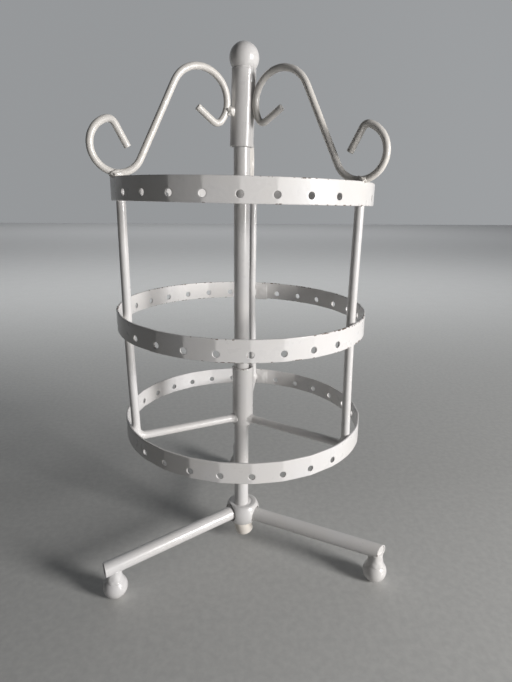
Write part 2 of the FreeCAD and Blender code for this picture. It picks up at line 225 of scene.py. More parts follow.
def lean(p):
    """Where a point of the carousel stands once it has settled crookedly on its pin."""
    outward = ease((math.hypot(p.x, p.y) - 8.0) / 50.0)
    shift = between(HOOP_SHIFT, p.z) * outward + between(SLEEVE_SHIFT, p.z) * (1 - outward)
    drop = p.x * math.tan(math.radians(between(HOOP_TILT, p.z)))
    return Vector((p.x + shift, p.y, p.z - drop))


def sleeve_lean(p):
    """The same for the sleeves and the finial, which stay round."""
    drop = p.x * math.tan(math.radians(SLEEVE_TILT)) * ease((p.z - 240.0) / 20.0)
    return Vector((p.x + between(SLEEVE_SHIFT, p.z), p.y, p.z - drop))


def bush_lean(p):
    """The same for the bush in the upper sleeve, whose bore stays on the pin."""
    moved = sleeve_lean(p)
    return p.lerp(moved, ease((math.hypot(p.x, p.y) - 2.2) / 3.0))


# ---- meshes ----

class Skin:
    """Collects patches of faces and joins the points that coincide."""

    def __init__(self):
        self.points = []
        self.faces = []
        self.wear = []
        self.index = {}

    def point(self, p, wear=0.0):
        key = (round(p[0], 3), round(p[1], 3), round(p[2], 3))
        if key not in self.index:
            self.index[key] = len(self.points)
            self.points.append(Vector(p))
            self.wear.append(wear)
        found = self.index[key]
        self.wear[found] = max(self.wear[found], wear)
        return found

    def face(self, corners):
        ring = []
        for c in corners:
            if c not in ring:
                ring.append(c)
        if len(ring) > 2:
            self.faces.append(ring)

    def grid(self, rows, closed=False):
        """Quads between rows of point numbers; closed joins each row's end to its start."""
        for low, high in zip(rows, rows[1:]):
            count = len(low)
            for k in range(count if closed else count - 1):
                n = (k + 1) % count
                self.face([low[k], low[n], high[n], high[k]])

    def fan(self, row, centre, flip=False):
        for k in range(len(row)):
            corners = [row[k], row[(k + 1) % len(row)], centre]
            self.face(corners[::-1] if flip else corners)


def mesh_of(skin, name, change=None):
    mesh = bpy.data.meshes.new(name)
    points = [change(p) if change else p for p in skin.points]
    mesh.from_pydata([p * MM for p in points], [], skin.faces)
    mesh.validate()
    mesh.update()
    return mesh


def add_object(name, data):
    item = bpy.data.objects.new(name, data)
    bpy.context.scene.collection.objects.link(item)
    return item


def add_piece(name, mesh, body, material, replaces=()):
    """A smooth-shaded object on its body, standing for its CAD nodes."""
    mesh.shade_smooth()
    mesh.materials.append(material)
    piece = add_object(name, mesh)
    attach(piece, body)
    if replaces:
        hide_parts(*replaces)


def make_piece(name, skin, body, material, replaces=(), change=None):
    """A piece from a skin, its points moved by change and its wear kept for the paint."""
    mesh = mesh_of(skin, name, change)
    worn = mesh.attributes.new("wear", "FLOAT", "POINT")
    worn.data.foreach_set("value", skin.wear)
    add_piece(name, mesh, body, material, replaces)


def carousel_paint(name, skin, paint, replaces, change):
    make_piece(name, skin, "carousel", paint, replaces, change)


def stand_paint(name, skin, *replaces):
    make_piece(name, skin, "stand", TUBE_PAINT, replaces)


def lathe(profile, segments, closed=False, place=None):
    """A skin turned about Z from (radius, height) or (radius, height, wear) points."""
    skin = Skin()
    place = place or Matrix.Identity(4)
    rows = []
    for radius, height, *wear in profile:
        row = []
        for k in range(segments):
            p = place @ polar(radius, 360.0 * k / segments, height)
            row.append(skin.point(p, wear[0] if wear else 0.0))
        rows.append(row)
    if closed:
        rows.append(rows[0])
    skin.grid(rows, closed=True)
    return skin


def arc(centre, radius, start, end, count):
    """Profile points on an arc; angles in degrees from the radius direction."""
    points = [at_angle(radius, a) for a in steps(start, end, count)]
    return [(centre[0] + x, centre[1] + y) for x, y in points]


def tube_profile(outer, inner, bottom, top, step=4.0):
    """The closed outline of a tube's wall, its rims rounded and worn."""
    def rim(radius, height, start):
        return [(r, z, RIM_WEAR) for r, z in arc((radius, height), EDGE, start, start + 90, 4)]

    count = max(2, round((top - bottom) / step))
    low, high = bottom + EDGE, top - EDGE
    points = [(outer, z) for z in steps(low + EDGE, high - EDGE, count)]
    points += rim(outer - EDGE, high, 0) + rim(inner + EDGE, high, 90)
    points += [(inner, z) for z in steps(high - EDGE, low + EDGE, count)]
    points += rim(inner + EDGE, low, 180) + rim(outer - EDGE, low, 270)
    return points


def along(direction, origin):
    """A placement that takes Z to a direction and the origin to a point."""
    turn = Vector((0, 0, 1)).rotation_difference(Vector(direction)).to_matrix().to_4x4()
    return Matrix.Translation(origin) @ turn


def bent_path(start, heading, moves, step):
    """Points (reach, height) of a bent wire; a move is (length, turn, radius) as it was bent."""
    x, z = start
    points = [(x, z)]
    for length, turn, radius in moves:
        if turn == 0:
            count = max(2, math.ceil(length / step))
            dx, dz = at_angle(length, heading)
            points += [(x + dx * k / count, z + dz * k / count) for k in range(1, count + 1)]
        else:
            count = max(6, math.ceil(abs(math.radians(turn)) * radius / step))
            side = math.copysign(90.0, turn)
            dx, dz = at_angle(radius, heading + side)
            start = heading - side
            points += arc((x + dx, z + dz), radius, start, start + turn, count)[1:]
            heading += turn
        x, z = points[-1]
    return points


def smooth_line(values, passes):
    """A line with its corners worn off, its two ends kept."""
    for _ in range(passes):
        inner = [tuple((a + 2 * b + c) / 4 for a, b, c in zip(*trio))
                 for trio in zip(values, values[1:], values[2:])]
        values = [values[0]] + inner + [values[-1]]
    return values


def wire(line, radius, segments, uneven, seed):
    """A round wire along 3-D points, both ends cut square with rounded, worn rims."""
    skin = Skin()
    tangents = []
    for before, after in zip(line[:1] + line, line[1:] + line[-1:]):
        tangents.append((after - before).normalized())
    side = tangents[0].orthogonal().normalized()
    sections = []
    for p, t in zip(line, tangents):
        side = (side - t * side.dot(t)).normalized()
        sections.append((p, t, side, radius, 0.0))
    caps = []
    for (p, t, s, _, _), way in ((sections[0], -1), (sections[-1], 1)):
        caps.append([(p + t * (way * d), t, s, r, RIM_WEAR) for r, d in cap_steps(radius)])
    sections = caps[0][::-1] + sections + caps[1]
    rows = []
    for p, t, s, r, wear in sections:
        other = t.cross(s)
        row = []
        for k in range(segments):
            a = 2 * math.pi * k / segments
            out = s * math.cos(a) + other * math.sin(a)
            swell = 1 + uneven * noise.noise((p + out * radius) * 0.35 + Vector((seed, 0, 0)))
            row.append(skin.point(p + out * r * swell, wear))
        rows.append(row)
    skin.grid(rows, closed=True)
    skin.fan(rows[0], skin.point(sections[0][0]), flip=True)
    skin.fan(rows[-1], skin.point(sections[-1][0]))
    return skin


def cap_steps(radius):
    """(radius, distance past the end) of the rounded rim of a cut end, then its flat face."""
    rim = arc((radius - EDGE, 0), EDGE, 25, 75, 2)
    return rim + [(radius - EDGE, EDGE), (radius * 0.5, EDGE)]


def section(skin, centre, side, other, segments):
    """A closed row of points round a centre, on the ellipse that two half-axes span."""
    turns = [2 * math.pi * k / segments for k in range(segments)]
    return [skin.point(centre + side * math.cos(a) + other * math.sin(a)) for a in turns]


def blob(skin, centre, size, axes, lumps, seed):
    """Adds a lumpy bead: an ellipsoid with half-sizes along its axes, swollen unevenly."""
    detail = 20

    def surface(unit):
        swell = 1 + lumps * noise.noise(unit * 1.6 + Vector((seed, seed * 0.7, 0)))
        p = Vector((unit.x * size[0], unit.y * size[1], unit.z * size[2])) * swell
        return skin.point(centre + axes @ p)

    rows = []
    for i in range(1, detail):
        phi = math.pi * i / detail
        ring, height = math.sin(phi), math.cos(phi)
        turns = [math.pi * k / detail for k in range(2 * detail)]
        rows.append([surface(Vector((ring * math.cos(a), ring * math.sin(a), height)))
                     for a in turns])
    skin.grid(rows, closed=True)
    skin.fan(rows[0], surface(Vector((0, 0, 1))), flip=True)
    skin.fan(rows[-1], surface(Vector((0, 0, -1))))


def close_ends(skin, segments):
    """Closes the first and last ring of a lathe with a flat face each."""
    count = len(skin.points)
    skin.face(list(range(segments))[::-1])
    skin.face(list(range(count - segments, count)))


def point_ends(skin, segments, first, last):
    """Closes the first and last ring of a lathe with fans to two heights on the axis."""
    count = len(skin.points)
    skin.fan(list(range(segments)), skin.point((0, 0, first)), flip=True)
    skin.fan(list(range(count - segments, count)), skin.point((0, 0, last)))


def radial_axes(angle):
    """Axes outward, across and up at a plan angle."""
    return Matrix.Rotation(math.radians(angle), 3, "Z")


# ---- materials ----

class Nodes:
    """A short way to build a material's node tree."""

    def __init__(self, name):
        self.material = bpy.data.materials.new(name)
        self.material.use_nodes = True
        self.tree = self.material.node_tree
        self.shader = self.tree.nodes["Principled BSDF"]

    def add(self, kind, **settings):
        node = self.tree.nodes.new("ShaderNode" + kind)
        for key, value in settings.items():
            setattr(node, key, value)
        return node

    def join(self, output, target):
        self.tree.links.new(output, target)

    def coordinates(self):
        return self.add("TexCoord").outputs["Object"]

    def cloud(self, scale, detail=2.0, roughness=0.5):
        """Noise in space, as a grey value; scale is in lumps a metre."""
        node = self.add("TexNoise")
        node.inputs["Scale"].default_value = scale
        node.inputs["Detail"].default_value = detail
        node.inputs["Roughness"].default_value = roughness
        self.join(self.coordinates(), node.inputs["Vector"])
        return node.outputs["Fac"]

    def spread(self, value, low, high, start=0.0, end=1.0):
        """The value stretched so that low gives start and high gives end."""
        node = self.add("MapRange")
        node.inputs["From Min"].default_value = low
        node.inputs["From Max"].default_value = high
        node.inputs["To Min"].default_value = start
        node.inputs["To Max"].default_value = end
        self.join(value, node.inputs["Value"])
        return node.outputs["Result"]

    def maths(self, operation, a, b):
        node = self.add("Math", operation=operation)
        for k, value in enumerate((a, b)):
            if isinstance(value, (int, float)):
                node.inputs[k].default_value = value
            else:
                self.join(value, node.inputs[k])
        return node.outputs[0]

    def mix(self, factor, a, b):
        """Colour a where factor is 0, b where it is 1."""
        node = self.add("Mix", data_type="RGBA")
        self.join(factor, node.inputs["Factor"])
        colours = [s for s in node.inputs if s.type == "RGBA"]
        for socket, value in zip(colours, (a, b)):
            if isinstance(value, tuple):
                socket.default_value = (*value, 1.0)
            else:
                self.join(value, socket)
        return [s for s in node.outputs if s.type == "RGBA"][0]

    def bump(self, height, distance):
        node = self.add("Bump")
        node.inputs["Distance"].default_value = distance
        self.join(height, node.inputs["Height"])
        return node.outputs["Normal"]

    def drive(self, socket, output):
        self.join(output, self.shader.inputs[socket])

    def set(self, **values):
        for key, value in values.items():
            self.shader.inputs[key.replace("_", " ")].default_value = value


OFF_WHITE = (0.80, 0.79, 0.79)
# The scrolls' white is warmer than the other paint: a painted warm light tint that stands in for
# the warm light the scrolls catch.
WARM_LIT_WIRE_WHITE = (0.81, 0.785, 0.755)
YELLOWING = (0.985, 0.97, 0.945)         # what age leaves of each colour
CHIP_COLOUR = (0.17, 0.12, 0.09)


def enamel(name, chips, colour=OFF_WHITE, coat=0.5, gloss=0.5):
    """Thick off-white enamel on steel: slightly uneven, yellowed in patches, chipped on edges."""
    m = Nodes(name)
    tone = m.spread(m.cloud(35.0, 3.0), 0.3, 0.7)
    warm = tuple(c * f for c, f in zip(colour, YELLOWING))
    base = m.mix(tone, colour, warm)
    worn = m.add("Attribute", attribute_name="wear").outputs["Fac"]
    patchy = m.spread(m.cloud(28.0, 1.0), 0.40, 0.60, 0.35, 1.0)
    knocks = m.maths("MULTIPLY", m.maths("MULTIPLY", worn, patchy), 0.25)
    speckle = m.maths("ADD", m.cloud(460.0, 3.0, 0.55), knocks)
    chip = m.spread(speckle, 0.85 - 0.1 * chips, 0.93 - 0.1 * chips)
    base = m.mix(chip, base, CHIP_COLOUR)
    m.drive("Base Color", base)
    rough = m.spread(m.cloud(140.0, 2.0), 0.3, 0.7, 0.26, 0.36)
    rough = m.maths("ADD", rough, m.maths("MULTIPLY", chip, 0.35))
    m.drive("Roughness", rough)
    skin = m.maths("ADD", m.cloud(420.0, 2.0), m.maths("MULTIPLY", m.cloud(110.0, 1.0), 2.0))
    height = m.maths("SUBTRACT", skin, m.maths("MULTIPLY", chip, 1.5))
    m.drive("Normal", m.bump(height, 0.00004))
    m.set(Coat_Weight=coat, Coat_Roughness=0.10, Specular_IOR_Level=gloss)
    return m.material


def bare_steel():
    m = Nodes("zinc_plated_steel")
    tone = m.spread(m.cloud(500.0, 3.0), 0.3, 0.7)
    m.drive("Base Color", m.mix(tone, (0.50, 0.50, 0.52), (0.62, 0.62, 0.62)))
    m.drive("Roughness", m.spread(m.cloud(900.0, 2.0), 0.3, 0.7, 0.28, 0.45))
    m.set(Metallic=1.0)
    return m.material


def moulded_plastic(name, light, dark, roughness):
    m = Nodes(name)
    tone = m.spread(m.cloud(160.0, 3.0), 0.3, 0.7)
    m.drive("Base Color", m.mix(tone, light, dark))
    rough = m.spread(m.cloud(700.0, 2.0), 0.3, 0.7, roughness - 0.05, roughness + 0.08)
    m.drive("Roughness", rough)
    m.drive("Normal", m.bump(m.cloud(900.0, 2.0), 0.00003))
    return m.material


def table_top():
    m = Nodes("table_top")
    tone = m.spread(m.cloud(220.0, 4.0, 0.6), 0.35, 0.65)
    near = m.mix(tone, (0.56, 0.56, 0.55), (0.62, 0.62, 0.605))
    # The floor is painted paler with distance from the middle: painted light that makes up for the
    # lamps falling off far away.
    reach = m.add("VectorMath", operation="LENGTH")
    m.join(m.coordinates(), reach.inputs[0])
    far_painted_light = m.spread(reach.outputs["Value"], 0.5, 3.0)
    m.drive("Base Color", m.mix(far_painted_light, near, (0.78, 0.78, 0.78)))
    m.drive("Roughness", m.spread(m.cloud(30.0, 3.0), 0.3, 0.7, 0.30, 0.38))
    m.set(Specular_IOR_Level=0.2)
    return m.material


HOOP_PAINT = enamel("hoop_enamel", chips=1.0, coat=0.15, gloss=0.35)
TUBE_PAINT = enamel("tube_enamel", chips=0.5)
# The scroll enamel carries the painted warm light tint of the warmer wire white.
WARM_LIT_WIRE_PAINT = enamel("wire_enamel_warm_lit", chips=0.6, colour=WARM_LIT_WIRE_WHITE)
BARE_STEEL = bare_steel()
CREAM_PLASTIC = moulded_plastic("cream_plastic", (0.88, 0.83, 0.77), (0.84, 0.78, 0.70), 0.42)
WHITE_PLASTIC = moulded_plastic("bearing_plastic", (0.78, 0.78, 0.76), (0.72, 0.72, 0.69), 0.38)


# ---- hoops ----

SIDE_STEPS = 8               # mesh steps up a hole's cell
WIDE_STEPS = 14              # and along it
BLANK_STEPS = 16             # mesh steps along the strip behind a rod
HOOP_WOBBLE = 0.12           # how far a hoop is out of round
HOLE_LIP = 0.22              # how far the enamel rounds a hole's edge
HOLE_CREASE = 0.12           # from the lip to the first ring of the flat
LAP_SIZE = 18                # mesh steps each way over a lap patch
LAP_INSET = 0.6              # from the patch to the strip's edges
LAP_ROOT = 0.3               # how far the patch's back face is sunk in the strip


def run_starts(level):
    """Plan angle of the first hole of each run, anticlockwise from its rod."""
    half_run = HOLE_PITCH[level] * (HOLES_PER_RUN - 1) / 2
    return [ROD_ANGLES[rod] + SECTOR / 2 + offset - half_run
            for rod, offset in RUN_OFFSETS[level].items()]


def flat_dip(angle, starts, pitch):
    """How far the strip lies inside its circle: it is flatter between two holes."""
    half = math.radians(pitch / 2)
    for start in starts:
        along_run = (angle - start) % 360.0
        if along_run < pitch * (HOLES_PER_RUN - 1):
            off = math.radians(along_run % pitch) - half
            return FACETS * RING_RADIUS * (1 - math.cos(half) / math.cos(off))
    return 0.0


def cell_rim(width, low, high):
    """Points round a cell, anticlockwise from its lower left corner."""
    rim = [(u, low) for u in steps(-width / 2, width / 2, WIDE_STEPS)[:-1]]
    rim += [(width / 2, v) for v in steps(low, high, SIDE_STEPS)[:-1]]
    rim += [(u, high) for u in steps(width / 2, -width / 2, WIDE_STEPS)[:-1]]
    rim += [(-width / 2, v) for v in steps(high, low, SIDE_STEPS)[:-1]]
    return rim


def hoop(level):
    """A rolled strip with runs of drilled holes, its edges and holes rounded by enamel."""
    node = level + "_ring"
    low, high = span_of(node)
    middle = (low + high) / 2
    starts, pitch = run_starts(level), HOLE_PITCH[level]
    surface = RING_RADIUS + HOOP_GROWTH[level]
    nod = math.tan(math.radians(HOOP_NOD[level]))
    degree = 2 * math.pi * RING_RADIUS / 360
    flat = (high - low) / 2 - EDGE
    worn = HOOP_WEAR[level]

    def placer(centre):
        def place(u, v, depth):
            angle = centre + u / degree
            wobble = HOOP_WOBBLE * math.sin(math.radians(2 * angle + 40))
            p = polar(surface - depth + wobble - flat_dip(angle, starts, pitch), angle)
            return Vector((p.x, p.y, middle + v + p.y * nod))
        return place

    skin = Skin()
    width = pitch * degree
    for start, following in zip(starts, starts[1:] + starts[:1]):
        gap = (following - start) % 360.0 - pitch * HOLES_PER_RUN
        for k in range(HOLES_PER_RUN):
            place = placer(start + pitch * k)
            hole_cell(skin, cell_rim(width, -flat, flat), place, worn)
            hoop_edges(skin, place, steps(-width / 2, width / 2, WIDE_STEPS), flat, worn)
        place = placer(start + pitch * (HOLES_PER_RUN - 0.5) + gap / 2)
        across = steps(-gap * degree / 2, gap * degree / 2, BLANK_STEPS)
        for depth in (0.0, STRIP_THICKNESS):
            rows = [[skin.point(place(u, v, depth), worn * (abs(v) > flat - 0.1)) for u in across]
                    for v in steps(-flat, flat, SIDE_STEPS)]
            skin.grid(rows if depth == 0 else rows[::-1])
        hoop_edges(skin, place, across, flat, worn)
    carousel_paint("hoop_" + level, skin, HOOP_PAINT, (node,), lean)


def hoop_edges(skin, place, across, flat, worn):
    """The strip's rounded top and bottom edges over one stretch."""
    for side in (1, -1):
        turns = [at_angle(EDGE, a) for a in (0, 30, 60, 90)]
        rows = [(side * (flat + up), EDGE - inward) for inward, up in turns]
        rows += [(v, STRIP_THICKNESS - d) for v, d in rows[::-1]]
        numbers = [[skin.point(place(u, v, d), worn) for u in across] for v, d in rows]
        skin.grid(numbers if side > 0 else numbers[::-1])


def hole_cell(skin, rim, place, worn):
    """One hole with the strip round it, from the cell's rim outside, through, to its rim inside.

    A loop's share says how far it has gone from the cell's rim (0) to the hole's round (1).
    """
    flat_radius = HOLE_RADIUS + HOLE_LIP
    loops = [(share, flat_radius + HOLE_CREASE, 0.0, worn * (share == 0.0))
             for share in (0.0, 0.07, 0.5, 0.93)]
    loops.append((1.0, flat_radius, 0.0, 0.0))
    for deeper, inward in [at_angle(HOLE_LIP, a) for a in (30, 60, 90)]:
        loops.append((1.0, flat_radius - inward, HOLE_LIP - deeper, 0.6 * worn))
    loops += [(share, radius, STRIP_THICKNESS - depth, wear)
              for share, radius, depth, wear in loops[::-1]]
    rows = []
    for share, radius, depth, wear in loops:
        row = []
        for u, v in rim:
            from_hole = v + HOLE_DROP
            reach = math.hypot(u, from_hole)
            x = u * (1 - share) + u / reach * radius * share
            y = from_hole * (1 - share) + from_hole / reach * radius * share - HOLE_DROP
            on_edge = wear if share > 0 or abs(v) > abs(rim[0][1]) - 0.1 else 0.0
            row.append(skin.point(place(x, y, depth), on_edge))
        rows.append(row)
    skin.grid(rows, closed=True)


def lap_patch(level):
    """The patch inside a hoop that laps its two ends, buttered over with enamel."""
    low, high = span_of(level + "_ring")
    start = ROD_ANGLES["back"] - SEAM_START - SEAM_SPAN
    tall = high - low - 2 * LAP_INSET
    skin = Skin()
    rims = []
    for front in (True, False):
        rows = []
        for v in steps(0.0, 1.0, LAP_SIZE):
            row = []
            for u in steps(0.0, 1.0, LAP_SIZE):
                swell = max(0.0, 1 - (2 * u - 1) ** 2) ** 1.6
                swell *= max(0.0, math.sin(math.pi * v ** 1.3))
                lumps = 0.85 + 0.5 * noise.noise((u * 3, v * 3, low * 0.1))
                depth = SEAM_THICKNESS * 1.7 * swell * lumps - 0.1 if front else -LAP_ROOT
                height = low + LAP_INSET + tall * v
                row.append(skin.point(polar(RING_INSIDE - depth, start + SEAM_SPAN * u, height)))
            rows.append(row)
        skin.grid(rows if front else rows[::-1])
        right, left = [r[-1] for r in rows[1:]], [r[0] for r in rows[-2:0:-1]]
        rims.append(rows[0] + right + rows[-1][-2::-1] + left)
    skin.grid(rims[::-1], closed=True)
    carousel_paint("hoop_lap_" + level, skin, HOOP_PAINT, ("ring_seams",), lean)


def make_hoops():
    for level in LEVELS:
        hoop(level)
        lap_patch(level)


# ---- rods and scrolls ----

def make_rods():
    low, high = span_of("upright_back")
    spoke = low + ROD_RADIUS
    drop = high - EDGE - spoke - ROD_BEND_RADIUS
    run = ROD_CIRCLE - ROD_BEND_RADIUS - SLEEVE_RADIUS + 0.6
    moves = [(drop, 0, 0), (0, -90, ROD_BEND_RADIUS), (run, 0, 0)]
    path = bent_path((ROD_CIRCLE, high - EDGE), -90, moves, 1.5)
    for k, (side, angle) in enumerate(ROD_PLACES.items()):
        line = []
        for reach, height in path:
            sway = [noise.noise((height * 0.02, k * 3.1, layer)) for layer in (0, 9)]
            line.append(polar(reach, angle, height) + Vector((*sway, 0)) * ROD_SWAY)
        skin = wire(line, ROD_RADIUS, 32, 0.012, k)
        carousel_paint("rod_" + side, skin, TUBE_PAINT, ("upright_" + side,), lean)


def scroll_line(quirks):
    """A scroll's centre line from its inner tip to its outer tip."""
    inner, outer, end_bend = quirks["inner"], quirks["outer"], quirks["end_bend"]
    rest = RING_TOP_EDGE + WIRE_RADIUS + quirks["rise"]
    touch = (SLEEVE_RADIUS + WIRE_RADIUS, quirks["touch"])
    across = quirks["reach"] - touch[0] - inner
    down = quirks["touch"] - rest - outer
    apart = math.hypot(across, down)
    slope = -math.degrees(math.atan2(down, across) + math.asin((inner + outer) / apart))
    diagonal = math.sqrt(apart ** 2 - (inner + outer) ** 2)
    inward = bent_path(touch, -90, [
        (0, quirks["inner_turn"], inner),
        (0, quirks["inner_tip_turn"], end_bend),
        (quirks["inner_tip"], 0, 0),
    ], WIRE_STEP)
    outward = bent_path(touch, 90, [
        (0, slope - 90, inner),
        (diagonal, 0, 0),
        (0, quirks["outer_heading"] - slope, outer),
        (0, quirks["outer_tip_turn"], end_bend),
        (quirks["outer_tip"], 0, 0),
    ], WIRE_STEP)
    return smooth_line(inward[::-1] + outward[1:], 4)


def make_scrolls():
    for k, (side, angle) in enumerate(ROD_ANGLES.items()):
        line = [polar(reach, angle, height) for reach, height in scroll_line(SCROLLS[side])]
        skin = wire(line, WIRE_RADIUS, 28, 0.03, 10 + k)
        shift, slant = SCROLLS[side]["shift"], math.tan(math.radians(SCROLLS[side]["tilt"]))
        carousel_paint("scroll_wire_" + side, skin, WARM_LIT_WIRE_PAINT, ("scroll_" + side,),
                       lambda p: Vector((p.x + shift, p.y, p.z - p.x * slant)))


# ---- sleeves and finial ----

def make_sleeves():
    for name, node in (("sleeve_upper", "upper_sleeve"), ("sleeve_lower", "lower_sleeve")):
        bottom, top = span_of(node)
        profile = tube_profile(SLEEVE_RADIUS, SLEEVE_RADIUS - SLEEVE_WALL, bottom, top)
        skin = lathe(profile, 72, closed=True)
        carousel_paint(name, skin, TUBE_PAINT, (node,), sleeve_lean)


def make_bearing():
    """The bush pressed into the upper sleeve, with a blind bore for the pin."""
    bottom, top = span_of("bearing_plug")
    outer = SLEEVE_RADIUS - SLEEVE_WALL - SLACK
    bore = radius_of("pivot_pin") + 0.05
    depth = span_of("pivot_pin")[1] + 0.05
    bevel = 0.3
    outline = [(bevel, depth), (bore - 0.4, depth), (bore, depth - 0.4)]
    outline += [(bore, bottom + bevel), (bore + bevel, bottom), (outer - bevel, bottom)]
    outline += [(outer, bottom + bevel), (outer, top - bevel), (outer - bevel, top), (bevel, top)]
    skin = lathe(outline, 48)
    point_ends(skin, 48, depth, top)
    make_piece("bearing_bush", skin, "carousel", WHITE_PLASTIC,
               ("bearing_plug",), bush_lean)


def make_finial():
    """The ball, and the bead of enamel where it meets the sleeve."""
    centre = span_of("finial_ball")[1] - FINIAL_RADIUS
    skin = lathe(arc((0, centre), FINIAL_RADIUS, -86, 86, 43), 72)
    point_ends(skin, 72, centre - FINIAL_RADIUS, centre + FINIAL_RADIUS)
    carousel_paint("finial", skin, TUBE_PAINT, ("finial_ball",), sleeve_lean)

    rim = span_of("upper_sleeve")[1]
    circle = [polar(SLEEVE_RADIUS - 0.55, 360.0 * k / 96, rim + 0.1) for k in range(96)]
    bead = closed_bead(circle, FINIAL_BEAD_RADIUS)
    carousel_paint("finial_bead", bead, TUBE_PAINT, ("finial_weld",), sleeve_lean)


def closed_bead(loop, radius):
    """A bead of weld or thick enamel along a closed, level loop of points."""
    skin = Skin()
    rows = []
    for k, p in enumerate(loop):
        t = (loop[(k + 1) % len(loop)] - loop[k - 1]).normalized()
        side = t.cross(Vector((0, 0, 1))).normalized()
        swell = radius * (1 + 0.3 * noise.noise(p * 0.45 + Vector((5, 0, 0))))
        rows.append(section(skin, p, side * swell, t.cross(side) * swell, 14))
    rows.append(rows[0])
    skin.grid(rows, closed=True)
    return skin


def make_paint_runs():
    """Enamel that ran from under the ball down the right of the sleeve before it set."""
    rim = span_of("upper_sleeve")[1]
    for k, (angle, length, width) in enumerate(PAINT_RUNS):
        points = []
        for s in steps(0.0, 1.0, 24):
            sway = 2.0 * noise.noise((s * 2.0, k * 4.0, 0))
            points.append(polar(SLEEVE_RADIUS - 0.25, angle + sway, rim + 1.2 - length * s))
        skin = tapered_run(points, width)
        carousel_paint("paint_run_%d" % (k + 1), skin, TUBE_PAINT, (), sleeve_lean)


def tapered_run(points, width):
    """A run of paint: thin at first and swelling to a drop at its end."""
    start, end = 0.06, 0.1                   # shares of the run that round off
    flatness = 0.55
    skin = Skin()
    rows = []
    for k, p in enumerate(points):
        s = k / (len(points) - 1)
        swell = 0.55 + 0.45 * ease(s * 1.3)
        round_end = math.sqrt(max(0.0, 1 - max(0.0, (s - 1 + end) / end) ** 2))
        round_start = math.sqrt(max(0.0, 1 - max(0.0, (start - s) / start) ** 2))
        size = width * swell * min(round_end, round_start)
        out = Vector((p.x, p.y, 0)).normalized()
        across = Vector((-out.y, out.x, 0))
        rows.append(section(skin, p, out * (size * flatness), across * size, 16))
    skin.grid(rows, closed=True)
    return skin


# ---- welds on the carousel ----

def make_carousel_welds():
    for level in LEVELS:
        low, high = span_of(level + "_ring")
        middle = (low + high) / 2
        skin = Skin()
        for k, angle in enumerate(ROD_PLACES.values()):
            for side in (-1, 1):
                line = []
                for s in steps(-1, 1, 12):
                    jitter = 0.25 * noise.noise((s * 2.5, side * 3.0, k + middle * 0.1))
                    p = Vector((RING_INSIDE - 0.9 + jitter, side * (ROD_WELD_OFF + jitter),
                                middle + ROD_WELD_REACH * s))
                    line.append(radial_axes(angle) @ p)
                taper_wire(skin, line, ROD_WELD_RADIUS, k * 2.0 + side)
        carousel_paint("rod_welds_" + level, skin, TUBE_PAINT, ("upright_welds",), lean)

    for k, side in enumerate(ROD_PLACES):
        spoke_weld(side, k)
        scroll_welds(side, k)


def spoke_weld(side, k):
    """The collar of weld where a rod's spoke meets the lower sleeve."""
    middle = Vector((0, 0, span_of("upright_back")[0] + ROD_RADIUS))
    collar = []
    for s in steps(0, 1, 8):
        flare = SPOKE_WELD_FLARE * (1 - s) ** 2
        collar.append((ROD_RADIUS - 0.1 + flare, SLEEVE_RADIUS - 1.4 + SPOKE_WELD_LENGTH * s))
    skin = lathe(collar, 40, place=along(polar(1, ROD_PLACES[side]), middle))
    for n, p in enumerate(skin.points):
        lump = 0.35 * noise.noise(p * 0.6 + Vector((k * 5.0, 0, 0)))
        skin.points[n] = p + (p - middle).normalized() * lump
    close_ends(skin, 40)
    carousel_paint("spoke_weld_" + side, skin, TUBE_PAINT, ("spoke_welds",), lean)


def scroll_welds(side, k):
    """The weld beads of a scroll: on its hoop, then on the sleeve."""
    axes = radial_axes(ROD_ANGLES[side])
    skin = Skin()
    for hand in (-1, 1):
        place = axes @ Vector((ROD_CIRCLE + 1.8, hand * 1.7, RING_TOP_EDGE + 1.5))
        blob(skin, place, FOOT_WELD_SIZE, axes, 0.4, 3.0 * k + hand)
    carousel_paint("scroll_foot_weld_" + side, skin, WARM_LIT_WIRE_PAINT, ("scroll_ring_welds",), lean)

    skin = Skin()
    for hand, bulk in SIDE_WELDS[side]:
        place = axes @ Vector((SLEEVE_RADIUS + 0.5, hand * 1.8, SCROLLS[side]["touch"] - 5.0))
        size = [half * bulk for half in SIDE_WELD_SIZE]
        blob(skin, place, size, axes, 0.35, 7.0 + 3.0 * k + hand)
    carousel_paint("scroll_side_weld_" + side, skin, WARM_LIT_WIRE_PAINT, ("scroll_sleeve_welds",),
                   sleeve_lean)


def taper_wire(skin, line, radius, seed):
    """Adds a bead that swells from nothing and fades to nothing along a line."""
    rows = []
    last = len(line) - 1
    for k, p in enumerate(line):
        t = (line[min(k + 1, last)] - line[max(k - 1, 0)]).normalized()
        side = t.orthogonal().normalized()
        taper = math.sqrt(1 - abs(2 * k / last - 1) ** 3)
        size = radius * taper * (1 + 0.3 * noise.noise(p * 0.7 + Vector((seed, 0, 0))))
        rows.append(section(skin, p, side * size, t.cross(side) * size, 14))
    skin.grid(rows, closed=True)


# ---- stand ----

def leg_frame(side):
    """(start, direction, length) of a leg's axis, from its box in the frame."""
    lo, hi = box_mm("leg_back")
    run = hi.y - lo.y
    fall = (hi.z - lo.z) - 2 * LEG_RADIUS
    slope = math.atan2(fall, run)
    start_height = hi.z - LEG_RADIUS * math.cos(slope)
    foot = "foot_" + side
    angle = 90.0 if side == "back" else plan_angle(far_corner(foot, radius_of(foot)))
    quirks = LEG_QUIRKS[side]
    slope += math.radians(quirks["slope"])
    angle += quirks["swing"]
    direction = polar(math.cos(slope), angle, -math.sin(slope))
    start = polar(lo.y, angle, start_height - quirks["drop"]) + STAND_OFFSET
    return start, direction, run / math.cos(slope) + quirks["length"]


